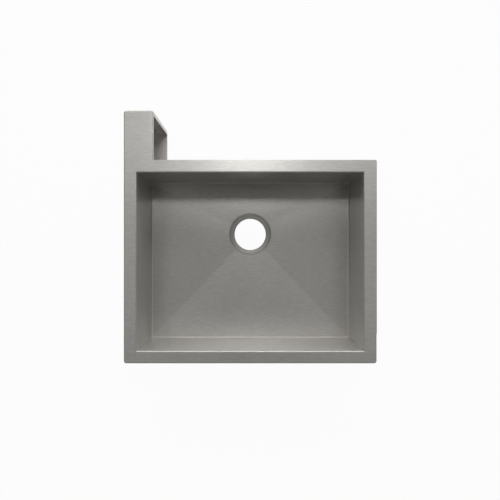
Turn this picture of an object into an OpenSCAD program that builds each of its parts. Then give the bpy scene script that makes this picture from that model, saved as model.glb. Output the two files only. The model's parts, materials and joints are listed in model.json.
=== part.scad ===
// Fabricated stainless steel kitchen sink for a corner place: one bowl under a flat deck,
// with a finished apron at the front and at the left, and a tab behind the left of the bowl.
// The origin is the centre of the footprint, on the plane that the aprons stand on.
// +X is to the right, +Y is to the back and +Z is up. Sizes are in millimetres.

/* [Bowl] */
// Inside width of the bowl, from the left wall to the right wall
bowl_w = 582; // [520:1:700]
// Inside depth of the bowl, from the front wall to the back wall
bowl_d = 457; // [420:1:560]
// Height from the edge of the floor up to the top of the deck
bowl_h = 222; // [200:1:232]
// Fall of the floor from its edge to the drain centre
floor_fall = 3; // [2:0.5:8]
// Inside radius of the bend between each wall and the floor
floor_bend_r = 3; // [2:0.5:6]

/* [Deck] */
// Width of the deck at each side of the bowl
rim_side = 33; // [30:1:60]
// Width of the deck in front of the bowl
rim_front = 32; // [30:1:60]
// Width of the deck behind the bowl
rim_back = 32; // [26:1:60]
// Radius of the free corner at the back right of the deck
free_corner_r = 4; // [1:0.5:10]
// Width of the tab behind the left of the deck
tab_w = 76; // [60:1:100]
// Length of the tab, from the back edge of the deck
tab_l = 127; // [80:1:160]
// Height of the fold along the right edge of the tab
tab_fold_h = 6; // [5:0.5:15]

/* [Aprons] */
// Height of both aprons, which is the height of the whole sink
apron_h = 254; // [246:1:272]
// Outside radius of the upright apron corners
corner_r = 6.5; // [5:0.5:12]
// Length of the front apron's return at the right, and depth of the flange under it
front_return = 76; // [50:1:100]
// Width of the lip that closes the end of the tab's back plate
lip_w = 12.7; // [8:0.1:25]
// Radius of the tab's flat corner inside the upright bend of the lip
lip_corner_r = 1; // [0.5:0.5:3]

/* [Sheet] */
// Thickness of the steel sheet
sheet_t = 1.5; // [1:0.1:2]
// Inside radius of the press-brake bends
bend_r = 1.5; // [1:0.1:2]

/* [Drain] */
// Radius of the drain hole
drain_r = 46; // [40:0.5:50]
// Distance from the inside of the back wall to the drain centre
drain_back = 152.5; // [120:0.5:200]
// Radius of the drain cup where it is welded into the floor
cup_r = 63; // [62.5:0.5:70]
// Outside radius of the dished seat round the drain hole
seat_r = 57; // [53:0.5:57.5]
// Depth of the seat's outer edge below the point that the floor falls to
seat_drop = 4.5; // [3:0.5:6]
// Fall of the seat from its outer edge to the hole
seat_dish = 1; // [0.5:0.5:2]
// Slope of the cup's side, from level
cup_angle = 60; // [57:1:70]

/* [Braces] */
// Height of each brace along the apron
brace_h = 60; // [40:1:80]
// Width of each brace's foot on the apron and on the wall
brace_foot = 20; // [12:1:30]
// Height of the lower end of the braces above the edge of the floor
brace_lift = 16; // [8:1:30]
// Distance between the braces on the front apron
front_pitch = 200; // [120:1:220]
// Distance between the braces on the left apron
left_pitch = 150; // [90:1:160]

/* [Sound pads] */
// Thickness of the rubber pads
pad_t = 3; // [2:0.5:4]
// Height of the pads on the walls
wall_pad_h = 90; // [60:1:110]
// Length of the pads on the front and back walls
long_pad_l = 420; // [200:1:460]
// Length of the pads on the left and right walls
short_pad_l = 320; // [200:1:350]
// Distance from the top of the braces up to the wall pads
pad_gap = 15; // [8:1:25]
// Length of the pads under the floor, along the wall
floor_pad_l = 180; // [100:1:200]
// Width of the pads under the front and side facets of the floor
floor_pad_w = 100; // [60:1:120]
// Width of the pad under the back facet of the floor
back_pad_w = 50; // [30:1:56]
// Distance from the floor's edge to each pad under it
floor_pad_inset = 25; // [15:1:30]
// Radius of the pads' corners
pad_corner_r = 8; // [3:1:14]

/* [Hidden] */
$fn = 96;
// How far a cutting shape runs past what it cuts
over = 1;

// Outer radii of the bends in the deck and the aprons, and of the lip's upright bend
bend_out = bend_r + sheet_t;
lip_bend_out = lip_corner_r + bend_out;

// Outline of the deck
overall_w = bowl_w + 2 * rim_side;
deck_d = rim_front + bowl_d + rim_back;
overall_d = deck_d + tab_l;
x_left = -overall_w / 2;
x_right = overall_w / 2;
y_front = -overall_d / 2;
y_back = overall_d / 2;
y_deck_back = y_front + deck_d;
x_tab = x_left + tab_w;
y_return = y_front + front_return;
y_lip = y_back - lip_w;

// Inside faces of the bowl
bowl_x = bowl_w / 2;
bowl_y_front = y_front + rim_front;
bowl_y_back = bowl_y_front + bowl_d;
bowl_y = (bowl_y_front + bowl_y_back) / 2;

// Floor levels and the drain's place
floor_z = apron_h - bowl_h;
drain_y = bowl_y_back - drain_back;
drain_z = floor_z - floor_fall;
seat_z = drain_z - seat_drop;
floor_x = bowl_x - floor_bend_r;
floor_y_front = bowl_y_front + floor_bend_r;
floor_y_back = bowl_y_back - floor_bend_r;

// Spaces between the aprons and the bowl
front_gap = rim_front - 2 * sheet_t;
left_gap = rim_side - 2 * sheet_t;
brace_z = floor_z + brace_lift;
wall_pad_z = brace_z + brace_h + pad_gap;

steel = "silver";
steel_inside = "lightgray";
rubber = "dimgray";

// Quarter of a bent sheet's section, in the first quadrant round the bend's centre
module quarter_bend(inner_r) {
    intersection() {
        difference() {
            circle(r = inner_r + sheet_t);
            circle(r = inner_r);
        }
        square(inner_r + sheet_t);
    }
}

// Upright section of an apron: x is outward from its face, y is up
module apron_section() {
    translate([-sheet_t, bend_out]) square([sheet_t, apron_h - 2 * bend_out]);
    translate([-bend_out, apron_h - bend_out]) quarter_bend(bend_r);
    translate([-bend_out, bend_out]) mirror([0, 1]) quarter_bend(bend_r);
}

// Straight stretch of apron that starts at a point of its face and runs along a heading
module apron_run(start, heading, length) {
    translate([start.x, start.y, 0]) rotate([0, 0, heading])
        rotate([90, 0, 90]) linear_extrude(length) apron_section();
}

// Quarter turn of an apron round an upright axis, from a heading to the one right of it
module apron_corner(centre, heading, r) {
    translate([centre.x, centre.y, 0]) rotate([0, 0, heading])
        rotate_extrude(angle = 90) translate([r, 0]) apron_section();
}

// What rounding takes off a square corner whose point is the origin
module corner_waste(r) {
    difference() {
        translate([-over, -over]) square(r + over);
        translate([r, r]) circle(r = r);
        translate([r, -2 * over]) square(r + 2 * over);
        translate([-2 * over, r]) square(r + 2 * over);
    }
}

// Inner edge of the apron bends: where the flat deck and the flanges begin
flat_left = x_left + bend_out;
flat_right = x_right - bend_out;
flat_front = y_front + bend_out;
flat_back = y_back - bend_out;
flat_tab = x_tab - bend_out;
flat_corner_r = corner_r - bend_out;

module deck_outline() {
    difference() {
        union() {
            translate([flat_left, flat_front]) square([flat_right - flat_left, y_deck_back - flat_front]);
            translate([flat_left, flat_front]) square([flat_tab - flat_left, flat_back - flat_front]);
            translate([0, y_return]) square([x_right, y_deck_back - y_return]);
        }
        translate([flat_left, flat_front]) corner_waste(flat_corner_r);
        translate([flat_right, flat_front]) mirror([1, 0]) corner_waste(flat_corner_r);
        translate([flat_left, flat_back]) mirror([0, 1]) corner_waste(flat_corner_r);
        translate([flat_tab, flat_back]) rotate(180) corner_waste(lip_corner_r);
        translate([x_right, y_deck_back]) rotate(180) corner_waste(free_corner_r);
    }
}

module bowl_window() {
    translate([-bowl_x - bend_out, bowl_y_front - bend_out])
        square([bowl_w + 2 * bend_out, bowl_d + 2 * bend_out]);
}

module deck_plate() {
    color(steel) {
        translate([0, 0, apron_h - sheet_t]) linear_extrude(sheet_t)
            difference() {
                deck_outline();
                bowl_window();
            }
        translate([flat_tab, y_lip, apron_h - bend_out]) rotate([90, 0, 0])
            linear_extrude(y_lip - y_deck_back) {
                quarter_bend(bend_r);
                translate([bend_r, bend_out - tab_fold_h]) square([sheet_t, tab_fold_h - bend_out]);
            }
    }
}

// Section of a bowl wall: x is outward from its inside face, y is up
module wall_section() {
    translate([0, floor_z + floor_bend_r])
        square([sheet_t, bowl_h - floor_bend_r - bend_out]);
    translate([bend_out, apron_h - bend_out]) mirror([1, 0]) quarter_bend(bend_r);
    translate([-floor_bend_r, floor_z + floor_bend_r]) mirror([0, 1]) quarter_bend(floor_bend_r);
}

// Wall of a given inside length, with mitred ends, its inside face on the XZ plane facing -Y
module bowl_wall(length) {
    half = length / 2;
    inner = floor_bend_r + over;
    outer = bend_out + over;
    color(steel_inside) intersection() {
        translate([-half - outer, 0, 0]) rotate([90, 0, 90])
            linear_extrude(length + 2 * outer) wall_section();
        linear_extrude(apron_h + over)
            polygon([[inner - half, -inner], [half - inner, -inner], [half + outer, outer], [-half - outer, outer]]);
    }
}

module wall_front() {
    translate([0, bowl_y_front, 0]) rotate([0, 0, 180]) bowl_wall(bowl_w);
}

module wall_back() {
    translate([0, bowl_y_back, 0]) bowl_wall(bowl_w);
}

module wall_left() {
    translate([-bowl_x, bowl_y, 0]) rotate([0, 0, 90]) bowl_wall(bowl_d);
}

module wall_right() {
    translate([bowl_x, bowl_y, 0]) rotate([0, 0, -90]) bowl_wall(bowl_d);
}

// Corners of the floor, counter-clockwise from the front left, at a given height
function floor_corners(z) = [
    [-floor_x, floor_y_front, z], [floor_x, floor_y_front, z],
    [floor_x, floor_y_back, z], [-floor_x, floor_y_back, z]
];

// Floor sheet before the cup is let in: four facets that fall to the drain
module floor_sheet() {
    polyhedron(
        points = concat(floor_corners(floor_z), [[0, drain_y, drain_z]],
                        floor_corners(floor_z - sheet_t), [[0, drain_y, drain_z - sheet_t]]),
        faces = concat(
            [for (i = [0:3]) [4, (i + 1) % 4, i]],
            [for (i = [0:3]) [9, 5 + i, 5 + (i + 1) % 4]],
            [for (i = [0:3]) [i, (i + 1) % 4, 5 + (i + 1) % 4, 5 + i]]
        )
    );
}

// Space over the floor's facets, up to the top of the deck
module space_over_floor() {
    polyhedron(
        points = concat(floor_corners(floor_z), [[0, drain_y, drain_z]], floor_corners(apron_h)),
        faces = concat(
            [[8, 7, 6, 5]],
            [for (i = [0:3]) [4, i, (i + 1) % 4]],
            [for (i = [0:3]) [i, 5 + i, 5 + (i + 1) % 4, (i + 1) % 4]]
        )
    );
}

module bowl_floor() {
    color(steel_inside) difference() {
        floor_sheet();
        translate([0, drain_y, seat_z]) cylinder(r = cup_r, h = floor_z - seat_z + over);
    }
}

// Cup with a dished seat round the hole, trimmed flush with the facets round its rim
module drain_cup() {
    slope = tan(cup_angle);
    recess_h = floor_z - seat_z;
    pan_r = seat_r + sheet_t * tan(cup_angle / 2);
    pan_cone_h = (cup_r - pan_r) * slope;
    color(steel_inside) translate([0, drain_y, seat_z]) difference() {
        union() {
            intersection() {
                translate([0, -drain_y, -seat_z]) floor_sheet();
                translate([0, 0, -sheet_t]) cylinder(r = cup_r, h = recess_h + sheet_t + over);
            }
            difference() {
                rotate_extrude() polygon([[0, -seat_dish - sheet_t], [drain_r, -seat_dish - sheet_t],
                                          [pan_r, -sheet_t], [cup_r, pan_cone_h - sheet_t],
                                          [cup_r, pan_cone_h], [0, pan_cone_h]]);
                translate([0, -drain_y, -seat_z]) space_over_floor();
            }
        }
        rotate_extrude() polygon([[0, -seat_dish], [drain_r, -seat_dish], [seat_r, 0],
                                  [seat_r + recess_h / slope, recess_h], [0, recess_h]]);
        translate([0, 0, -seat_dish - sheet_t - over])
            cylinder(r = drain_r, h = seat_dish + sheet_t + 2 * over);
    }
}

module apron_front() {
    color(steel) {
        apron_run([x_right, y_return], -90, front_return - corner_r);
        apron_corner([x_right - corner_r, y_front + corner_r], -90, corner_r);
        apron_run([x_right - corner_r, y_front], 180, overall_w - 2 * corner_r);
        apron_corner([x_left + corner_r, y_front + corner_r], 180, corner_r);
        linear_extrude(sheet_t) difference() {
            translate([flat_left, flat_front]) square([flat_right - flat_left, y_return - flat_front]);
            translate([flat_left, flat_front]) corner_waste(flat_corner_r);
            translate([flat_right, flat_front]) mirror([1, 0]) corner_waste(flat_corner_r);
        }
    }
}

module apron_left() {
    color(steel) {
        apron_run([x_left, y_front + corner_r], 90, overall_d - 2 * corner_r);
        apron_corner([x_left + corner_r, y_back - corner_r], 90, corner_r);
        apron_run([x_left + corner_r, y_back], 0, tab_w - corner_r - lip_bend_out);
        apron_corner([x_tab - lip_bend_out, y_back - lip_bend_out], 0, lip_bend_out);
        apron_run([x_tab, y_back - lip_bend_out], -90, lip_w - lip_bend_out);
        linear_extrude(sheet_t) difference() {
            union() {
                translate([flat_left, y_return]) square([tab_w - bend_out, y_lip - y_return]);
                translate([flat_left, y_return]) square([flat_tab - flat_left, flat_back - y_return]);
            }
            translate([flat_left, flat_back]) mirror([0, 1]) corner_waste(flat_corner_r);
            translate([flat_tab, flat_back]) rotate(180) corner_waste(lip_corner_r);
        }
    }
}

// Channel that spans a gap along +Y, with a foot on each side that turns towards +X
module brace(gap) {
    color(steel) translate([0, 0, brace_z]) linear_extrude(brace_h) {
        translate([0, bend_out]) square([sheet_t, gap - 2 * bend_out]);
        translate([bend_out, 0]) square([brace_foot - bend_out, sheet_t]);
        translate([bend_out, gap - sheet_t]) square([brace_foot - bend_out, sheet_t]);
        translate([bend_out, bend_out]) rotate(180) quarter_bend(bend_r);
        translate([bend_out, gap - bend_out]) rotate(90) quarter_bend(bend_r);
    }
}

module front_brace(place) {
    translate([place * front_pitch - brace_foot / 2, y_front + sheet_t, 0]) brace(front_gap);
}

module left_brace(place) {
    translate([x_left + sheet_t, bowl_y + place * left_pitch + brace_foot / 2, 0])
        rotate([0, 0, -90]) brace(left_gap);
}

// Pad with rounded corners, centred on the Z axis and lying on the XY plane
module pad(size_x, size_y) {
    linear_extrude(pad_t) difference() {
        square([size_x, size_y], center = true);
        for (flip_x = [0, 1], flip_y = [0, 1])
            mirror([flip_x, 0]) mirror([0, flip_y])
                translate([-size_x / 2, -size_y / 2]) corner_waste(pad_corner_r);
    }
}

// Upright pad whose back lies on the XZ plane and whose thickness is along +Y
module wall_pad(length) {
    color(rubber) translate([0, 0, wall_pad_z + wall_pad_h / 2])
        rotate([-90, 0, 0]) pad(length, wall_pad_h);
}

module pad_front() {
    translate([0, bowl_y_front - sheet_t, 0]) rotate([0, 0, 180]) wall_pad(long_pad_l);
}

module pad_back() {
    translate([0, bowl_y_back + sheet_t, 0]) wall_pad(long_pad_l);
}

module pad_left() {
    translate([-bowl_x - sheet_t, bowl_y, 0]) rotate([0, 0, 90]) wall_pad(short_pad_l);
}

module pad_right() {
    translate([bowl_x + sheet_t, bowl_y, 0]) rotate([0, 0, -90]) wall_pad(short_pad_l);
}

// Pad against the underside of a facet: reach is the facet's run from its edge to the drain
module floor_pad(edge, heading, reach, width) {
    fall_angle = atan(floor_fall / reach);
    color(rubber) translate([edge.x, edge.y, floor_z - sheet_t]) rotate([0, 0, heading])
        rotate([0, fall_angle, 0])
        translate([floor_pad_inset + width / 2, 0, -pad_t]) pad(width, floor_pad_l);
}

module pad_floor_front() {
    floor_pad([0, floor_y_front], 90, drain_y - floor_y_front, floor_pad_w);
}

module pad_floor_back() {
    floor_pad([0, floor_y_back], -90, floor_y_back - drain_y, back_pad_w);
}

module pad_floor_left() {
    floor_pad([-floor_x, drain_y], 0, floor_x, floor_pad_w);
}

module pad_floor_right() {
    floor_pad([floor_x, drain_y], 180, floor_x, floor_pad_w);
}

deck_plate();
wall_front();
wall_back();
wall_left();
wall_right();
bowl_floor();
drain_cup();
apron_front();
apron_left();
front_brace(-1);  // front_brace_1
front_brace(0);  // front_brace_2
front_brace(1);  // front_brace_3
left_brace(-1);  // left_brace_1
left_brace(0);  // left_brace_2
left_brace(1);  // left_brace_3
pad_front();
pad_back();
pad_left();
pad_right();
pad_floor_front();
pad_floor_back();
pad_floor_left();
pad_floor_right();
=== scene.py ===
"""Looks of the corner kitchen sink: satin sheet, rubber pads, studio and camera."""

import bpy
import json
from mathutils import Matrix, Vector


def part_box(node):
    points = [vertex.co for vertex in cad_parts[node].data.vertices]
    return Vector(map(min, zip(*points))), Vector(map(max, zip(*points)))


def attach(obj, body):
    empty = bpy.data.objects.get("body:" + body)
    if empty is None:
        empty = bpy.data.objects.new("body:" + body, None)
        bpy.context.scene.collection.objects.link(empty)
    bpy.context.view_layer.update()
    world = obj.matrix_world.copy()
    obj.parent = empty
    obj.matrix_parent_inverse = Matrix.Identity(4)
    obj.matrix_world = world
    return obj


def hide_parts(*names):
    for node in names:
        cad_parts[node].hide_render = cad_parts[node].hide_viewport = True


bl_info = {
    "name": "Corner Kitchen Sink",
    "version": (1, 0, 0),
    "blender": (4, 5, 0),
    "location": "View3D > Sidebar > Sink",
    "description": "Dresses the packed sink: satin steel, drain, welds, rubber pads and a pale studio",
    "category": "Object",
}

import json
import math

import bmesh
import bpy
from bpy.props import FloatProperty, FloatVectorProperty, IntProperty, PointerProperty
from mathutils import Vector

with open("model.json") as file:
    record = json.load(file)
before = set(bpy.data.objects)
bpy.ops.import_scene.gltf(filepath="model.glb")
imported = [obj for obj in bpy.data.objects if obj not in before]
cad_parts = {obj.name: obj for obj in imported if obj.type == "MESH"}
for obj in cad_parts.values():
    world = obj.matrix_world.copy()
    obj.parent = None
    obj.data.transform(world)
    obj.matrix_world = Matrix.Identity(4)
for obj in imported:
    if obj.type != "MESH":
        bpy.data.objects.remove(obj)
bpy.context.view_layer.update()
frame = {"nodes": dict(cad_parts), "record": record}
NODES = frame["nodes"]
BODY = "root"
MM = 0.001

RUBBER_SLOT = "pad_rubber"
SLOT_COLORS = {m["slot"]: tuple(m["base_color"]) for m in frame["record"]["materials"]}

# The floor and the drain as the frame places them: HOLE_Z is the height of the hole's top edge
FLOOR_LOW, FLOOR_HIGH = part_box("bowl_floor")
CUP_LOW, CUP_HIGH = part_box("drain_cup")
DRAIN_MOUNT = next(m for m in frame["record"]["mounts"] if m["name"] == "drain_opening")
SHEET = DRAIN_MOUNT["dims"]["length_mm"] * MM
HOLE_R = DRAIN_MOUNT["dims"]["r_mm"] * MM
CUP_R = (CUP_HIGH.x - CUP_LOW.x) / 2
DRAIN_Y = (CUP_LOW.y + CUP_HIGH.y) / 2
HOLE_Z = CUP_LOW.z + SHEET

# Outer faces of the bowl's walls, where the pads lie on them, and the deck's window under its top
WALLS_LOW = Vector((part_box("pad_left")[1].x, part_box("pad_front")[1].y, 0))
WALLS_HIGH = Vector((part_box("pad_right")[0].x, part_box("pad_back")[0].y, 0))
WINDOW_LOW = Vector((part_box("wall_left")[0].x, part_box("wall_front")[0].y, 0))
WINDOW_HIGH = Vector((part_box("wall_right")[1].x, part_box("wall_back")[1].y, 0))
DECK_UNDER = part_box("deck_plate")[1].z - SHEET

GRAIN_X_NODES = ["deck_plate", "wall_front", "wall_back", "apron_front"]
GRAIN_Y_NODES = ["wall_left", "wall_right", "apron_left"]
BRACE_NODES = [f"{side}_brace_{n}" for side in ("front", "left") for n in (1, 2, 3)]
PAD_NODES = ["pad_front", "pad_back", "pad_left", "pad_right",
             "pad_floor_front", "pad_floor_back", "pad_floor_left", "pad_floor_right"]

# Corners from the front left on, as the signs of X and Y
CORNERS = ((-1, -1), (1, -1), (1, 1), (-1, 1))

# Ranges that most values of a noise lie in, the wide one and its core
NOISE_RANGE = (0.3, 0.7)
NOISE_CORE = (0.35, 0.65)

# Streaks of the grain: widths of the fine and the broad ones in metres, and the weight of the fine ones
FINE_STREAK = 0.0007
BROAD_STREAK = 0.0022
FINE_WEIGHT = 0.4

# Slow cloud over the steel: cells per metre, and its swing in tone and in roughness
CLOUD_SCALE = 9.0
CLOUD_TONE = 0.015
CLOUD_ROUGHNESS = 0.005

# Scratches of the brushed surface: strength of their bump, and their height in metres
SCRATCH_STRENGTH = 0.04
SCRATCH_HEIGHT = 0.0002

# Turned rings of the cup, in noise cells per metre
RING_SCALE = 900.0

# Weld metal: cells per metre of the heat tint and of the grit, the noise over which the tint sets in,
# roughness from smooth to gritty, mirror share, and the strength and height of the grit's bump
TINT_SCALE = 45.0
GRIT_SCALE = 1400.0
TINT_RANGE = (0.45, 0.75)
WELD_ROUGHNESS = (0.3, 0.44)
WELD_METAL = 0.6
GRIT_STRENGTH = 0.15
GRIT_HEIGHT = 0.0002

# Rubber: cells per metre of the speckle and of the patches, tone from dark to light in each,
# roughness from smooth to rough, and the strength and height of the speckle's bump
SPECKLE_SCALE = 900.0
PATCH_SCALE = 30.0
SPECKLE_TONE = (0.75, 1.3)
PATCH_TONE = (0.9, 1.12)
RUBBER_ROUGHNESS = (0.62, 0.82)
SPECKLE_STRENGTH = 0.3
SPECKLE_HEIGHT = 0.0003

# Share of a face's normal along the grain above which the grain would run into the face
RUNS_IN = 0.7

# Largest part of a normal on flat sheet, and on a bend where the wear is full
FLAT_NORMAL = 0.985
BENT_NORMAL = 0.85

# Rays from the drain: how many at even steps, how many degrees at each crease stay clear of them,
# and the close ones beside a crease in degrees
EVEN_RAYS = 144
CLEAR_DEGREES = 0.8
CLOSE_DEGREES = (0, 0.15, 0.3, 0.5, 0.8, 1.2, 1.8, 2.6, 3.6, 4.8)

# Angle between two faces from which their edge shades sharp, and from which a pad's edge is rounded
SHARP_ANGLE = math.radians(40)
PAD_EDGE_ANGLE = math.radians(60)

# Straight steps in an arc of the cup's section, a corner weld's bend, a bead's ripple and a pad's edge
ARC_STEPS = 6
BEND_STEPS = 5
RIPPLE_STEPS = 4
PAD_EDGE_STEPS = 3

# How far the middle of the hole's rounded edge lies inside the corner, as a share of the radius
EDGE_MIDDLE = 0.3

# Brow of the ground band, as shares of its half-width and of its crown
BROW_OUT = 0.6
BROW_UP = 0.8

# Paint of the studio floor, and the width of the camera's sensor in millimetres
FLOOR_PAINT = (0.9, 0.9, 0.9, 1)
SENSOR_WIDTH = 36.0


class SinkSteelSettings(bpy.types.PropertyGroup):
    """Satin stainless sheet"""

    color: FloatVectorProperty(
        name="Steel colour", description="Colour of the bare sheet",
        subtype="COLOR", size=3, min=0, max=1, default=(0.626, 0.611, 0.583))
    metal: FloatProperty(
        name="Mirror share", description="Share of the light that the grain sends on as a highlight",
        subtype="FACTOR", min=0, max=1, default=0.5)
    roughness: FloatProperty(
        name="Roughness", description="Mean roughness of the satin finish",
        subtype="FACTOR", min=0, max=1, default=0.3)
    rough_spread: FloatProperty(
        name="Roughness spread", description="How far roughness swings between the grain's streaks",
        subtype="FACTOR", min=0, max=0.5, default=0.002)
    stretch: FloatProperty(
        name="Highlight stretch", description="How far the grain draws highlights out across itself",
        subtype="FACTOR", min=0, max=1, default=0.3)
    streak: FloatProperty(
        name="Streak contrast", description="Brightness spread of the grain's streaks",
        subtype="FACTOR", min=0, max=1, default=0.14)
    streak_length: FloatProperty(
        name="Streak length", description="Length of one streak of the grain",
        subtype="DISTANCE", unit="LENGTH", min=0.001, max=0.2, default=0.018)
    edge_polish: FloatProperty(
        name="Edge polish", description="How much smoother handling leaves the bends and edges",
        subtype="FACTOR", min=0, max=0.2, default=0.015)


class SinkFloorSettings(bpy.types.PropertyGroup):
    """Creased floor and the drain cup let into it"""

    drain_z: FloatProperty(
        name="Fall point", description="Height that the four facets fall to at the drain centre",
        subtype="DISTANCE", unit="LENGTH", default=0.029)
    crease: FloatProperty(
        name="Crease half-width", description="Half of the width over which a crease is rounded",
        subtype="DISTANCE", unit="LENGTH", min=0.0005, max=0.02, default=0.0015)
    # Painted shade: the floor's left and right facets are painted darker than the front and back ones
    side_painted_shade: FloatProperty(
        name="Side facet tone", description="Light that the left and right facets return beside the others",
        subtype="FACTOR", min=0.5, max=1, default=0.91)
    rings: IntProperty(
        name="Rings", description="Rings of faces between the drain cup and the walls",
        min=4, max=60, default=20)
    seat_r: FloatProperty(
        name="Seat radius", description="Outside radius of the dished seat round the hole",
        subtype="DISTANCE", unit="LENGTH", default=0.057)
    seat_dish: FloatProperty(
        name="Seat dish", description="Fall of the seat from its outer edge to the hole",
        subtype="DISTANCE", unit="LENGTH", default=0.001)
    step_angle: FloatProperty(
        name="Step angle", description="Slope of the cup's side, from level",
        subtype="ANGLE", unit="ROTATION", default=math.radians(60))
    shoulder_r: FloatProperty(
        name="Shoulder radius", description="Rounding where the floor turns down into the cup",
        subtype="DISTANCE", unit="LENGTH", default=0.003)
    fillet_r: FloatProperty(
        name="Seat fillet", description="Inside rounding between the seat and the cup's side",
        subtype="DISTANCE", unit="LENGTH", default=0.0015)
    hole_edge_r: FloatProperty(
        name="Hole edge", description="Rounding of the hole's top edge",
        subtype="DISTANCE", unit="LENGTH", min=0.0001, default=0.0004)
    turned_roughness: FloatProperty(
        name="Cup roughness", description="Mean roughness of the turned cup",
        subtype="FACTOR", min=0, max=1, default=0.52)
    turned_stretch: FloatProperty(
        name="Cup highlight stretch", description="How far the rings draw highlights out from the hole",
        subtype="FACTOR", min=0, max=1, default=0.5)


class SinkWeldSettings(bpy.types.PropertyGroup):
    """Weld beads on the outside and the dressed seam inside the bowl"""

    color: FloatVectorProperty(
        name="Weld colour", description="Colour of brushed weld metal",
        subtype="COLOR", size=3, min=0, max=1, default=(0.66, 0.65, 0.62))
    tint: FloatVectorProperty(
        name="Heat tint", description="Straw colour that heat leaves in places",
        subtype="COLOR", size=3, min=0, max=1, default=(0.60, 0.55, 0.46))
    bead_r: FloatProperty(
        name="Bead radius", description="Radius of the round weld beads",
        subtype="DISTANCE", unit="LENGTH", min=0.0003, max=0.0014, default=0.0013)
    ripple: FloatProperty(
        name="Ripple length", description="Distance from one ripple of a bead to the next",
        subtype="DISTANCE", unit="LENGTH", min=0.001, max=0.02, default=0.0036)
    ripple_depth: FloatProperty(
        name="Ripple depth", description="Share of the bead's radius lost between ripples",
        subtype="FACTOR", min=0, max=0.5, default=0.22)
    seam_half: FloatProperty(
        name="Seam half-width", description="Half of the width of the ground band along the floor's seam",
        subtype="DISTANCE", unit="LENGTH", min=0.0005, max=0.003, default=0.0012)
    seam_crown: FloatProperty(
        name="Seam crown", description="Height left on the ground band over the floor's edge",
        subtype="DISTANCE", unit="LENGTH", min=0.00005, max=0.001, default=0.00018)
    # Painted highlight: the ground band's steel is painted lighter than the sheet, as a bright line along the
    # floor's edge
    seam_painted_highlight: FloatProperty(
        name="Seam tone", description="Light that the ground band returns beside the sheet",
        min=0.5, max=1.5, default=1.3)


class SinkPadSettings(bpy.types.PropertyGroup):
    """Rubber sound pads"""

    edge_r: FloatProperty(
        name="Moulded edge", description="Rounding of the pads' edges",
        subtype="DISTANCE", unit="LENGTH", min=0.0002, max=0.0014, default=0.0009)


class SinkStageSettings(bpy.types.PropertyGroup):
    """Floor, light and camera"""

    lamp_gain: FloatProperty(
        name="Lamp gain", description="Multiplies the power of every softbox",
        min=0, max=10, default=1.0)
    wall_level: FloatProperty(
        name="Back wall level", description="Brightness of the lit back wall",
        min=0, default=1.7)
    wall_side: FloatProperty(
        name="Wall side edge", description="Share of a heading that points back, where the light begins",
        min=-1, max=1, default=0.1)
    wall_middle: FloatProperty(
        name="Wall middle edge", description="Share of a heading that points back, where the light is full",
        min=-1, max=1, default=0.8)
    wall_low: FloatProperty(
        name="Wall top", description="Sine of the elevation where the wall begins to dim",
        min=0, max=1, default=0.4)
    wall_high: FloatProperty(
        name="Wall end", description="Sine of the elevation where the wall's light ends",
        min=0, max=1, default=0.65)
    backdrop_low: FloatProperty(
        name="Backdrop top", description="Sine of the elevation where the mirrored backdrop begins to dim",
        min=-1, max=1, default=0.1)
    backdrop_high: FloatProperty(
        name="Backdrop end", description="Sine of the elevation where the mirrored backdrop ends",
        min=-1, max=1, default=0.3)
    floor_half: FloatProperty(
        name="Floor half-size", description="Distance from the middle of the white floor to its edges",
        subtype="DISTANCE", unit="LENGTH", default=6.0)
    floor_share: FloatProperty(
        name="Floor shading", description="How much of the white floor takes light and shadow",
        subtype="FACTOR", min=0, max=1, default=0.04)
    camera_height: FloatProperty(
        name="Camera height", description="Height of the camera over the floor",
        subtype="DISTANCE", unit="LENGTH", default=1.739)
    camera_x: FloatProperty(
        name="Camera X", description="Place of the camera to the right of the sink's middle",
        subtype="DISTANCE", unit="LENGTH", default=-0.0005)
    camera_y: FloatProperty(
        name="Camera Y", description="Place of the camera behind the sink's middle",
        subtype="DISTANCE", unit="LENGTH", default=-0.0335)
    camera_lens: FloatProperty(
        name="Lens", description="Focal length of the camera",
        unit="CAMERA", default=41.8)


class Graph:
    """A node tree with short calls to add and join its nodes."""

    def __init__(self, tree):
        self.tree = tree
        tree.nodes.clear()

    def add(self, kind, inputs=None, **settings):
        node = self.tree.nodes.new(kind)
        for key, value in settings.items():
            setattr(node, key, value)
        for key, value in (inputs or {}).items():
            if isinstance(value, bpy.types.NodeSocket):
                self.tree.links.new(value, node.inputs[key])
            else:
                node.inputs[key].default_value = value
        return node

    def math(self, operation, a, b=0.0):
        return self.add("ShaderNodeMath", {0: a, 1: b}, operation=operation).outputs[0]

    def vector(self, operation, a, b):
        return self.add("ShaderNodeVectorMath", {0: a, 1: b}, operation=operation).outputs["Vector"]

    def scaled(self, a, factor):
        return self.add("ShaderNodeVectorMath", {0: a, "Scale": factor}, operation="SCALE").outputs["Vector"]

    def remap(self, value, low, high, to_low, to_high, smooth=False):
        kind = "SMOOTHSTEP" if smooth else "LINEAR"
        inputs = {"Value": value, "From Min": low, "From Max": high, "To Min": to_low, "To Max": to_high}
        return self.add("ShaderNodeMapRange", inputs, interpolation_type=kind).outputs["Result"]

    def noise(self, place, scale, detail):
        inputs = {"Vector": place, "Scale": scale, "Detail": detail}
        return self.add("ShaderNodeTexNoise", inputs).outputs["Fac"]

    def bump(self, height, strength, distance):
        inputs = {"Height": height, "Strength": strength, "Distance": distance}
        return self.add("ShaderNodeBump", inputs).outputs["Normal"]

    def finish(self, kind, inputs):
        surface = self.add(kind, inputs).outputs[0]
        self.add("ShaderNodeOutputMaterial", {"Surface": surface})


def new_material(name):
    """Graph of a new, empty material."""
    material = bpy.data.materials.new(name)
    material.use_nodes = True
    graph = Graph(material.node_tree)
    graph.material = material
    return graph


# For each grain: the axis it follows, the one it turns to on faces that the first runs into, and the third
GRAIN_AXES = {"X": (0, 1, 2), "Y": (1, 0, 2), "Z": (2, 0, 1)}


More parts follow.
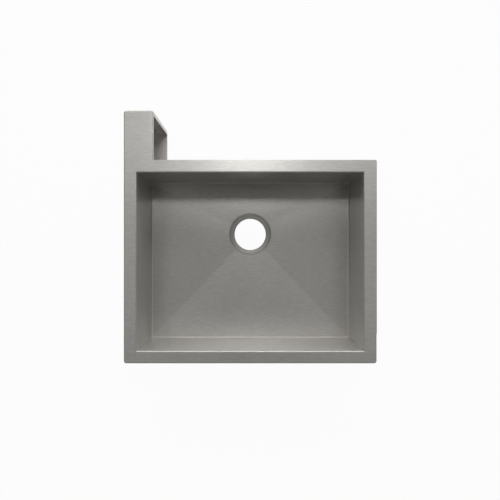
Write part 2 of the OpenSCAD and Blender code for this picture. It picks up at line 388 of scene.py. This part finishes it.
def sheet_grain(graph, axis):
    """Place on the sheet as (along the grain, across it, third axis), and the grain's direction."""
    home, other, third = GRAIN_AXES[axis]
    place = graph.add("ShaderNodeTexCoord").outputs["Object"]
    spot = graph.add("ShaderNodeSeparateXYZ", {0: place}).outputs
    facing = graph.add("ShaderNodeNewGeometry").outputs["True Normal"]
    facing = graph.add("ShaderNodeSeparateXYZ", {0: facing}).outputs[home]
    turned = graph.math("GREATER_THAN", graph.math("ABSOLUTE", facing), RUNS_IN)
    along = graph.add("ShaderNodeMix", {0: turned, 2: spot[home], 3: spot[other]}).outputs[0]
    side = graph.add("ShaderNodeMix", {0: turned, 2: spot[other], 3: spot[home]}).outputs[0]
    flat = graph.add("ShaderNodeCombineXYZ", {0: along, 1: side, 2: spot[third]}).outputs[0]
    kept = graph.math("SUBTRACT", 1.0, turned)
    direction = graph.add("ShaderNodeCombineXYZ", {home: kept, other: turned}).outputs[0]
    return place, flat, direction


def streaks(graph, flat, length, width):
    """Noise whose cells are long along the grain and short across it, in metres."""
    spread = graph.vector("MULTIPLY", flat, (1 / length, 1 / width, 1 / width))
    noise = graph.add("ShaderNodeTexNoise", {"Vector": spread, "Scale": 1.0, "Detail": 2.0, "Roughness": 0.6})
    return noise.outputs["Fac"]


def bend_wear(graph):
    """Share of a face that is a bend or an edge, where handling polishes the grain."""
    facing = graph.add("ShaderNodeNewGeometry").outputs["Normal"]
    facing = graph.add("ShaderNodeVectorMath", {0: facing}, operation="ABSOLUTE").outputs["Vector"]
    parts = graph.add("ShaderNodeSeparateXYZ", {0: facing}).outputs
    straight = graph.math("MAXIMUM", graph.math("MAXIMUM", parts[0], parts[1]), parts[2])
    return graph.remap(straight, FLAT_NORMAL, BENT_NORMAL, 0.0, 1.0, smooth=True)


def satin_surface(graph, place, texture, fine, across, roughness, stretch, tone=1.0):
    """Steel whose tone and roughness follow a texture, with highlights drawn out along a direction."""
    steel = bpy.context.scene.sink_steel
    cloud = graph.noise(place, CLOUD_SCALE, 3.0)
    light = graph.remap(texture, *NOISE_RANGE, 1 - steel.streak, 1 + steel.streak)
    cloud_tone = graph.remap(cloud, *NOISE_RANGE, 1 - CLOUD_TONE, 1 + CLOUD_TONE)
    light = graph.math("MULTIPLY", light, cloud_tone)
    # tone paints shade on the floor's left and right facets, and a highlight on the floor's seam band
    light = graph.math("MULTIPLY", light, tone)
    color = graph.scaled(steel.color, light)
    spread = steel.rough_spread
    rough = graph.remap(texture, *NOISE_CORE, roughness - spread, roughness + spread)
    cloud_rough = graph.remap(cloud, *NOISE_RANGE, -CLOUD_ROUGHNESS, CLOUD_ROUGHNESS)
    rough = graph.math("ADD", rough, cloud_rough)
    rough = graph.math("SUBTRACT", rough, graph.math("MULTIPLY", bend_wear(graph), steel.edge_polish))
    bump = graph.bump(fine, SCRATCH_STRENGTH, SCRATCH_HEIGHT)
    graph.finish("ShaderNodeBsdfPrincipled", {
        "Base Color": color, "Roughness": rough, "Metallic": steel.metal, "Anisotropic": stretch,
        "Normal": bump, "Tangent": across})


def facet_painted_shade(graph, tone, side_painted_shade):
    """Tone of a floor facet, with painted shade: the darker side level where it leans to left or right."""
    facing = graph.add("ShaderNodeNewGeometry").outputs["True Normal"]
    parts = graph.add("ShaderNodeSeparateXYZ", {0: facing}).outputs
    painted_side = graph.math("GREATER_THAN", graph.math("ABSOLUTE", parts[0]), graph.math("ABSOLUTE", parts[1]))
    return graph.remap(painted_side, 0.0, 1.0, tone, side_painted_shade)


def steel_material(name, axis, tone=1.0, side_painted_shade=None):
    """Satin steel with its grain along an axis of the frame."""
    steel = bpy.context.scene.sink_steel
    graph = new_material(name)
    # tone paints a highlight on the floor's seam band, and a side level paints shade on the floor's left and
    # right facets
    if side_painted_shade:
        tone = facet_painted_shade(graph, tone, side_painted_shade)
    place, flat, direction = sheet_grain(graph, axis)
    fine = streaks(graph, flat, steel.streak_length, FINE_STREAK)
    broad = streaks(graph, flat, steel.streak_length, BROAD_STREAK)
    fine_part = graph.math("MULTIPLY", fine, FINE_WEIGHT)
    broad_part = graph.math("MULTIPLY", broad, 1 - FINE_WEIGHT)
    mixed = graph.math("ADD", fine_part, broad_part)
    normal = graph.add("ShaderNodeNewGeometry").outputs["Normal"]
    across = graph.vector("CROSS_PRODUCT", normal, direction)
    satin_surface(graph, place, mixed, fine, across, steel.roughness, steel.stretch, tone)
    return graph.material


def turned_material():
    """Steel turned round the drain: fine rings, duller than the sheet."""
    drain = bpy.context.scene.sink_floor
    graph = new_material("turned_steel")
    place = graph.add("ShaderNodeTexCoord").outputs["Object"]
    offset = graph.vector("SUBTRACT", place, (0, DRAIN_Y, 0))
    outward = graph.vector("MULTIPLY", offset, (1, 1, 0))
    radius = graph.add("ShaderNodeVectorMath", {0: outward}, operation="LENGTH").outputs["Value"]
    rings = graph.add("ShaderNodeTexNoise", {"W": radius, "Scale": RING_SCALE, "Detail": 2.0},
                      noise_dimensions="1D").outputs["Fac"]
    satin_surface(graph, place, rings, rings, outward, drain.turned_roughness, drain.turned_stretch)
    return graph.material


def weld_material():
    """Brushed weld metal: a little brighter than the sheet, with a faint straw tint in places."""
    welds = bpy.context.scene.sink_welds
    graph = new_material("weld_steel")
    place = graph.add("ShaderNodeTexCoord").outputs["Object"]
    patch = graph.noise(place, TINT_SCALE, 3.0)
    grit = graph.noise(place, GRIT_SCALE, 2.0)
    tint = graph.remap(patch, *TINT_RANGE, 0.0, 1.0, smooth=True)
    color = graph.add("ShaderNodeMix", {0: tint, 6: (*welds.color, 1), 7: (*welds.tint, 1)},
                      data_type="RGBA").outputs[2]
    rough = graph.remap(grit, *NOISE_RANGE, *WELD_ROUGHNESS)
    bump = graph.bump(grit, GRIT_STRENGTH, GRIT_HEIGHT)
    graph.finish("ShaderNodeBsdfPrincipled", {
        "Base Color": color, "Roughness": rough, "Metallic": WELD_METAL, "Normal": bump})
    return graph.material


def rubber_material():
    """Matte moulded rubber with a fine speckle."""
    graph = new_material("pad_rubber")
    place = graph.add("ShaderNodeTexCoord").outputs["Object"]
    speckle = graph.noise(place, SPECKLE_SCALE, 3.0)
    patch = graph.noise(place, PATCH_SCALE, 2.0)
    light = graph.remap(speckle, *NOISE_RANGE, *SPECKLE_TONE)
    light = graph.math("MULTIPLY", light, graph.remap(patch, *NOISE_RANGE, *PATCH_TONE))
    color = graph.scaled(SLOT_COLORS[RUBBER_SLOT], light)
    rough = graph.remap(speckle, *NOISE_RANGE, *RUBBER_ROUGHNESS)
    bump = graph.bump(speckle, SPECKLE_STRENGTH, SPECKLE_HEIGHT)
    graph.finish("ShaderNodeBsdfPrincipled", {
        "Base Color": color, "Roughness": rough, "Metallic": 0.0, "IOR": 1.5, "Normal": bump})
    return graph.material


def dress(node_name, material):
    """Gives a CAD node one material."""
    node = NODES[node_name]
    node.data.materials.clear()
    node.data.materials.append(material)


def get_material(name, make):
    """Material of that name, made on its first use."""
    return bpy.data.materials.get(name) or make()


def steel_x():
    return get_material("satin_steel_x", lambda: steel_material("satin_steel_x", "X"))


def steel_y():
    return get_material("satin_steel_y", lambda: steel_material("satin_steel_y", "Y"))


def floor_steel():
    # Floor steel with painted shade on its left and right facets
    painted_side = bpy.context.scene.sink_floor.side_painted_shade
    return get_material("satin_steel_floor_painted_shade", lambda: steel_material("satin_steel_floor_painted_shade", "X", 1.0, painted_side))


def seam_painted_highlight_steel():
    # The seam band's steel is painted lighter: a painted highlight along the floor's edge
    tone = bpy.context.scene.sink_welds.seam_painted_highlight
    return get_material("satin_steel_seam_painted_highlight", lambda: steel_material("satin_steel_seam_painted_highlight", "X", tone))


def steel_z():
    return get_material("satin_steel_z", lambda: steel_material("satin_steel_z", "Z"))


def piece(name, mesh, material, replaced):
    """Links a new mesh as a piece that rides on the sink and stands for CAD nodes."""
    mesh.materials.append(material)
    obj = bpy.data.objects.new(name, mesh)
    bpy.context.scene.collection.objects.link(obj)
    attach(obj, BODY)
    if replaced:
        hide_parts(*replaced)
    return obj


def floor_planes():
    """Slope of each facet as (heading it rises in, rise per metre): front, right, back, left."""
    fall = FLOOR_HIGH.z - bpy.context.scene.sink_floor.drain_z
    return [
        (Vector((0, -1)), fall / (DRAIN_Y - FLOOR_LOW.y)),
        (Vector((1, 0)), fall / FLOOR_HIGH.x),
        (Vector((0, 1)), fall / (FLOOR_HIGH.y - DRAIN_Y)),
        (Vector((-1, 0)), fall / -FLOOR_LOW.x),
    ]


def floor_rise(x, y):
    """Height of the creased floor over its fall point, with each crease rounded."""
    width = bpy.context.scene.sink_floor.crease
    away = Vector((x, y - DRAIN_Y))
    rises = sorted(((away.dot(head) * slope, head * slope) for head, slope in floor_planes()),
                   key=lambda pair: -pair[0])
    (top, top_slope), (second, second_slope) = rises[:2]
    reach = width * (top_slope - second_slope).length
    overlap = max(reach - (top - second), 0) / reach
    return top + overlap * overlap * reach / 4


def rectangle(low, high, z):
    """Four corners of a level rectangle, from the front left on."""
    return [Vector((high.x if side_x > 0 else low.x, high.y if side_y > 0 else low.y, z))
            for side_x, side_y in CORNERS]


def ray_headings():
    """Angles of the rays that the floor and the cup share: even steps, and close ones at each crease."""
    turn = 2 * math.pi
    clear = math.radians(CLEAR_DEGREES)
    angles = {round(turn * n / EVEN_RAYS, 6) for n in range(EVEN_RAYS)}
    for corner in rectangle(FLOOR_LOW, FLOOR_HIGH, 0):
        crease = math.atan2(corner.y - DRAIN_Y, corner.x) % turn
        angles = {a for a in angles if abs((a - crease + math.pi) % turn - math.pi) > clear}
        for degrees in CLOSE_DEGREES:
            for side in (-1, 1):
                angles.add(round((crease + side * math.radians(degrees)) % turn, 6))
    return sorted(angles)


def edge_reach(angle):
    """Distance from the drain centre to the floor's edge along a heading."""
    least = 1e-9
    dx, dy = math.cos(angle), math.sin(angle)
    side_y = FLOOR_HIGH.y - DRAIN_Y if dy > 0 else DRAIN_Y - FLOOR_LOW.y
    return min(FLOOR_HIGH.x / max(abs(dx), least), side_y / max(abs(dy), least))


def swept_loops(name, sections):
    """Closed mesh of one closed section per ray, joined round the drain."""
    mesh = bpy.data.meshes.new(name)
    bm = bmesh.new()
    loops = [[bm.verts.new(point) for point in section] for section in sections]
    for loop, following in zip(loops, loops[1:] + loops[:1]):
        for n in range(len(loop)):
            m = (n + 1) % len(loop)
            bm.faces.new((loop[n], loop[m], following[m], following[n]))
    bmesh.ops.recalc_face_normals(bm, faces=bm.faces)
    for face in bm.faces:
        face.smooth = True
    bm.to_mesh(mesh)
    bm.free()
    mesh.set_sharp_from_angle(angle=SHARP_ANGLE)
    return mesh


def at_ray(angle, r, z):
    """Point at a radius and a height on a heading from the drain's centre."""
    return Vector((r * math.cos(angle), DRAIN_Y + r * math.sin(angle), z))


def floor_mesh():
    """Floor sheet in rings from the cup to the walls, its top falling to the drain."""
    settings = bpy.context.scene.sink_floor
    sections = []
    for angle in ray_headings():
        reach = edge_reach(angle)
        radii = [CUP_R + (reach - CUP_R) * n / settings.rings for n in range(settings.rings + 1)]
        top = []
        for r in radii:
            spot = at_ray(angle, r, 0)
            spot.z = settings.drain_z + floor_rise(spot.x, spot.y)
            top.append(spot)
        top[-1].z = min(top[-1].z, FLOOR_HIGH.z)
        bottom = [spot - Vector((0, 0, SHEET)) for spot in reversed(top)]
        sections.append(top + bottom)
    return swept_loops("floor_pan", sections)


def arc(center, r, start, end):
    """Points of an arc in the (radius, height) plane, angles from straight down."""
    angles = [start + (end - start) * n / ARC_STEPS for n in range(ARC_STEPS + 1)]
    return [(center[0] + r * math.sin(a), center[1] - r * math.cos(a)) for a in angles]


def cup_section(land_slope):
    """Closed section of the cup, as (radius, height over the hole's edge), for a facet's slope."""
    settings = bpy.context.scene.sink_floor
    step = settings.step_angle
    tilt = math.atan(land_slope)
    dish = math.atan(settings.seat_dish / (settings.seat_r - HOLE_R))
    seat_z = settings.seat_dish
    drop = settings.drain_z - HOLE_Z
    edge = settings.hole_edge_r
    fillet_r, shoulder_r = settings.fillet_r, settings.shoulder_r
    hole = [(HOLE_R, -SHEET), (HOLE_R, -edge), (HOLE_R + EDGE_MIDDLE * edge, -EDGE_MIDDLE * edge)]
    hole.append((HOLE_R + edge, edge * math.tan(dish)))
    back_off = fillet_r * math.tan((step - dish) / 2)
    start = (settings.seat_r - back_off * math.cos(dish), seat_z - back_off * math.sin(dish))
    fillet_center = (start[0] - fillet_r * math.sin(dish), start[1] + fillet_r * math.cos(dish))
    fillet = arc(fillet_center, fillet_r, dish, step)
    meet_r = (drop - seat_z + settings.seat_r * math.tan(step)) / (math.tan(step) - land_slope)
    meet_z = drop + land_slope * meet_r
    back_off = shoulder_r * math.tan((step - tilt) / 2)
    start = (meet_r - back_off * math.cos(step), meet_z - back_off * math.sin(step))
    center = (start[0] + shoulder_r * math.sin(step), start[1] - shoulder_r * math.cos(step))
    shoulder = arc(center, -shoulder_r, step, tilt)
    land = [(CUP_R, drop + land_slope * CUP_R)]
    under_land = [(CUP_R, land[0][1] - SHEET)]
    gap_r = SHEET * math.tan((step - tilt) / 2)
    elbow = [(meet_r + SHEET * math.sin(tilt) + gap_r * math.cos(tilt),
              meet_z - SHEET * math.cos(tilt) + gap_r * math.sin(tilt))]
    under_fillet = list(reversed(arc(fillet_center, fillet_r + SHEET, dish, step)))
    return hole + fillet + shoulder + land + under_land + elbow + under_fillet


def cup_mesh():
    """Drain cup whose rim follows the floor's facets."""
    sections = []
    for angle in ray_headings():
        spot = at_ray(angle, CUP_R, 0)
        slope = floor_rise(spot.x, spot.y) / CUP_R
        sections.append([at_ray(angle, r, HOLE_Z + z) for r, z in cup_section(slope)])
    return swept_loops("drain_seat", sections)


def spaced(path, closed, gap):
    """Points at even gaps along a path of straight stretches."""
    stops = path + path[:1] if closed else path
    points = []
    for start, end in zip(stops, stops[1:]):
        steps = max(round((end - start).length / gap), 1)
        points += [start.lerp(end, n / steps) for n in range(steps)]
    return points if closed else points + stops[-1:]


def bead(name, path, closed=True):
    """Round bead of weld metal along a path, with the ripples of its pool."""
    welds = bpy.context.scene.sink_welds
    points = spaced(path, closed, welds.ripple / RIPPLE_STEPS)
    curve = bpy.data.curves.new(name, "CURVE")
    curve.dimensions = "3D"
    curve.bevel_depth = welds.bead_r
    curve.bevel_resolution = 2
    curve.use_fill_caps = not closed
    spline = curve.splines.new("POLY")
    spline.points.add(len(points) - 1)
    for n, (point, spot) in enumerate(zip(spline.points, points)):
        point.co = (*spot, 1)
        trough = (1 + math.cos(2 * math.pi * n / RIPPLE_STEPS)) / 2
        point.radius = 1 - welds.ripple_depth * trough
    spline.use_cyclic_u = closed
    return piece(name, curve, get_material("weld_steel", weld_material), [])


def seam_mesh():
    """Ground band round the floor: a low crown over the joint, rooted in the sheet."""
    welds = bpy.context.scene.sink_welds
    half, crown, root = welds.seam_half, welds.seam_crown, SHEET / 3
    brow, brow_z = BROW_OUT * half, BROW_UP * crown
    profile = [(-half, -root), (-half, 0), (-brow, brow_z), (0, crown),
               (brow, brow_z), (half, 0), (half, -root)]
    sections = []
    for corner, (side_x, side_y) in zip(rectangle(FLOOR_LOW, FLOOR_HIGH, FLOOR_HIGH.z), CORNERS):
        sections.append([corner + Vector((side_x * out, side_y * out, up)) for out, up in profile])
    return swept_loops("floor_seam", sections)


def corner_path(side_x, side_y):
    """Path of an upright corner weld, from under the deck round the bend to the floor's corner."""
    bend = WALLS_HIGH.y - FLOOR_HIGH.y
    wall_x = WALLS_HIGH.x if side_x > 0 else WALLS_LOW.x
    wall_y = WALLS_HIGH.y if side_y > 0 else WALLS_LOW.y
    corner = Vector((wall_x, wall_y, 0))
    inward = Vector((-side_x, -side_y, 0))
    under_floor = FLOOR_HIGH.z - SHEET
    path = [corner + Vector((0, 0, DECK_UNDER))]
    for n in range(BEND_STEPS + 1):
        turn = math.pi / 2 * n / BEND_STEPS
        height = under_floor + bend * (1 - math.sin(turn))
        path.append(corner + inward * bend * (1 - math.cos(turn)) + Vector((0, 0, height)))
    return path


class SINK_OT_sheet(bpy.types.Operator):
    """Give the deck, walls, aprons and braces their satin steel"""

    bl_idname = "sink.sheet"
    bl_label = "Dress the Sheet"
    bl_options = {"REGISTER", "UNDO"}

    def execute(self, context):
        for name in GRAIN_X_NODES:
            dress(name, steel_x())
        for name in GRAIN_Y_NODES:
            dress(name, steel_y())
        for name in BRACE_NODES:
            dress(name, steel_z())
        return {"FINISHED"}


class SINK_OT_floor(bpy.types.Operator):
    """Make the floor with rounded creases that fall to the drain"""

    bl_idname = "sink.floor"
    bl_label = "Make the Floor"
    bl_options = {"REGISTER", "UNDO"}

    def execute(self, context):
        piece("floor_pan", floor_mesh(), floor_steel(), ["bowl_floor"])
        return {"FINISHED"}


class SINK_OT_drain(bpy.types.Operator):
    """Make the drain cup with its rounded shoulder, fillet and hole edge"""

    bl_idname = "sink.drain"
    bl_label = "Make the Drain Cup"
    bl_options = {"REGISTER", "UNDO"}

    def execute(self, context):
        turned = get_material("turned_steel", turned_material)
        piece("drain_seat", cup_mesh(), turned, ["drain_cup"])
        return {"FINISHED"}


class SINK_OT_welds(bpy.types.Operator):
    """Lay the weld beads outside the bowl and the dressed seam round its floor"""

    bl_idname = "sink.welds"
    bl_label = "Lay the Welds"
    bl_options = {"REGISTER", "UNDO"}

    def execute(self, context):
        for side_x, side_y in CORNERS:
            name = f"weld_{'back' if side_y > 0 else 'front'}_{'right' if side_x > 0 else 'left'}"
            bead(name, corner_path(side_x, side_y), closed=False)
        bead("weld_floor", rectangle(FLOOR_LOW, FLOOR_HIGH, FLOOR_HIGH.z - SHEET))
        bead("weld_deck", rectangle(WINDOW_LOW, WINDOW_HIGH, DECK_UNDER))
        ring = []
        for angle in ray_headings():
            spot = at_ray(angle, CUP_R, 0)
            spot.z = context.scene.sink_floor.drain_z + floor_rise(spot.x, spot.y) - SHEET
            ring.append(spot)
        bead("weld_drain", ring)
        # The seam band carries a painted highlight in its lighter steel
        piece("floor_seam", seam_mesh(), seam_painted_highlight_steel(), [])
        return {"FINISHED"}


class SINK_OT_pads(bpy.types.Operator):
    """Give the sound pads their moulded edge and rubber"""

    bl_idname = "sink.pads"
    bl_label = "Dress the Pads"
    bl_options = {"REGISTER", "UNDO"}

    def execute(self, context):
        rubber = get_material("pad_rubber", rubber_material)
        for name in PAD_NODES:
            dress(name, rubber)
            edge = NODES[name].modifiers.new("moulded_edge", "BEVEL")
            edge.width = context.scene.sink_pads.edge_r
            edge.segments = PAD_EDGE_STEPS
            edge.limit_method = "ANGLE"
            edge.angle_limit = PAD_EDGE_ANGLE
        return {"FINISHED"}


def floor_material(share):
    """White floor: bright to the camera and to reflections, with a share that takes shadow."""
    graph = new_material("studio_floor")
    path = graph.add("ShaderNodeLightPath").outputs
    seen = graph.math("MAXIMUM", path["Is Camera Ray"],
                      graph.math("MAXIMUM", path["Is Glossy Ray"], path["Is Transmission Ray"]))
    diffuse = graph.add("ShaderNodeBsdfDiffuse", {"Color": FLOOR_PAINT}).outputs["BSDF"]
    glow = graph.add("ShaderNodeEmission", {"Color": (1, 1, 1, 1), "Strength": 1.0}).outputs["Emission"]
    fac = graph.math("MULTIPLY", seen, 1 - share)
    mixed = graph.add("ShaderNodeMixShader", {0: fac, 1: diffuse, 2: glow}).outputs[0]
    graph.add("ShaderNodeOutputMaterial", {"Surface": mixed})
    return graph.material


def room_world(settings):
    """White backdrop to the camera and in reflections, and a lit back wall that fades sideways and up."""
    world = bpy.data.worlds.new("studio_room")
    world.use_nodes = True
    graph = Graph(world.node_tree)
    heading = graph.add("ShaderNodeTexCoord").outputs["Generated"]
    parts = graph.add("ShaderNodeSeparateXYZ", {0: heading}).outputs
    across = graph.remap(parts["Y"], settings.wall_side, settings.wall_middle, 0.0, 1.0, smooth=True)
    low, high = settings.wall_low, settings.wall_high
    upward = graph.remap(parts["Z"], low, high, settings.wall_level, 0.0, smooth=True)
    level = graph.math("MULTIPLY", across, upward)
    path = graph.add("ShaderNodeLightPath").outputs
    mirrored = graph.math("MAXIMUM", path["Is Glossy Ray"], path["Is Transmission Ray"])
    low, high = settings.backdrop_low, settings.backdrop_high
    backdrop = graph.remap(parts["Z"], low, high, 1.0, 0.0, smooth=True)
    level = graph.math("MAXIMUM", level, graph.math("MULTIPLY", mirrored, backdrop))
    level = graph.add("ShaderNodeMix", {0: path["Is Camera Ray"], 2: level, 3: 1.0}).outputs[0]
    background = graph.add("ShaderNodeBackground", {"Color": (1, 1, 1, 1), "Strength": level}).outputs[0]
    graph.add("ShaderNodeOutputWorld", {"Surface": background})
    return world


# Softboxes: lean from straight above towards the back and the right in degrees, distance, width, depth
# and power. A fitting program picked the five middle ones and the lit back wall from a coarse grid, and
# gave the first powers. Each side one stands between two of its picks. The powers were then set one by one.
SOFTBOXES = {
    "key_softbox": (16, 0, 3.0, 0.5, 0.25, 6.0),
    "strip_softbox": (16, 0, 3.0, 2.6, 0.25, 4.4),
    "broad_softbox": (8, 0, 3.0, 2.6, 0.6, 1.6),
    "back_softbox": (42, 0, 2.4, 2.4, 0.6, 15.0),
    "front_softbox": (-20, 0, 3.0, 2.6, 1.0, 1.4),
    "left_softbox": (-7, -17, 3.0, 0.6, 0.8, 0.65),
    "right_softbox": (-7, 17, 3.0, 0.6, 0.8, 0.65),
}


def softbox(name, gain):
    """Rectangular lamp that faces the sink's middle."""
    back, right, distance, width, depth, power = SOFTBOXES[name]
    heading = Vector((math.tan(math.radians(right)), math.tan(math.radians(back)), 1)).normalized()
    lamp = bpy.data.lights.new(name, "AREA")
    lamp.shape = "RECTANGLE"
    lamp.size = width
    lamp.size_y = depth
    lamp.energy = gain * power
    obj = bpy.data.objects.new(name, lamp)
    obj.location = heading * distance
    obj.rotation_euler = heading.to_track_quat("Z", "Y").to_euler()
    bpy.context.scene.collection.objects.link(obj)


class SINK_OT_stage(bpy.types.Operator):
    """Set up the pale floor, the room, the softboxes and the camera"""

    bl_idname = "sink.stage"
    bl_label = "Set the Stage"
    bl_options = {"REGISTER", "UNDO"}

    def execute(self, context):
        settings = context.scene.sink_stage
        mesh = bpy.data.meshes.new("studio_floor")
        half = settings.floor_half
        corners = [(-half, -half, 0), (half, -half, 0), (half, half, 0), (-half, half, 0)]
        mesh.from_pydata(corners, [], [(0, 1, 2, 3)])
        mesh.materials.append(floor_material(settings.floor_share))
        ground = bpy.data.objects.new("studio_floor", mesh)
        context.scene.collection.objects.link(ground)
        context.scene.world = room_world(settings)
        for name in SOFTBOXES:
            softbox(name, settings.lamp_gain)

        camera_data = bpy.data.cameras.new("camera")
        camera_data.lens = settings.camera_lens
        camera_data.sensor_width = SENSOR_WIDTH
        camera = bpy.data.objects.new("camera", camera_data)
        camera.location = (settings.camera_x, settings.camera_y, settings.camera_height)
        context.scene.collection.objects.link(camera)
        context.scene.camera = camera
        context.scene.view_settings.view_transform = "Standard"
        return {"FINISHED"}


class VIEW3D_PT_sink(bpy.types.Panel):
    """Sink pieces and settings"""

    bl_idname = "VIEW3D_PT_sink"
    bl_label = "Kitchen Sink"
    bl_space_type = "VIEW_3D"
    bl_region_type = "UI"
    bl_category = "Sink"

    def draw(self, context):
        layout = self.layout
        for group_name in GROUPS:
            group = getattr(context.scene, group_name)
            box = layout.box()
            for name in group.__annotations__:
                box.prop(group, name)
        for operator in OPERATORS:
            layout.operator(operator.bl_idname)


GROUPS = {"sink_steel": SinkSteelSettings, "sink_floor": SinkFloorSettings, "sink_welds": SinkWeldSettings,
          "sink_pads": SinkPadSettings, "sink_stage": SinkStageSettings}
OPERATORS = (SINK_OT_sheet, SINK_OT_floor, SINK_OT_drain, SINK_OT_welds, SINK_OT_pads, SINK_OT_stage)


def register():
    for cls in (*GROUPS.values(), *OPERATORS, VIEW3D_PT_sink):
        bpy.utils.register_class(cls)
    for name, group in GROUPS.items():
        setattr(bpy.types.Scene, name, PointerProperty(type=group))


def unregister():
    for name in GROUPS:
        delattr(bpy.types.Scene, name)
    for cls in reversed((*GROUPS.values(), *OPERATORS, VIEW3D_PT_sink)):
        bpy.utils.unregister_class(cls)


def main():
    register()
    bpy.ops.sink.sheet()
    bpy.ops.sink.floor()
    bpy.ops.sink.drain()
    bpy.ops.sink.welds()
    bpy.ops.sink.pads()
    bpy.ops.sink.stage()


if __name__ == "__main__":
    main()
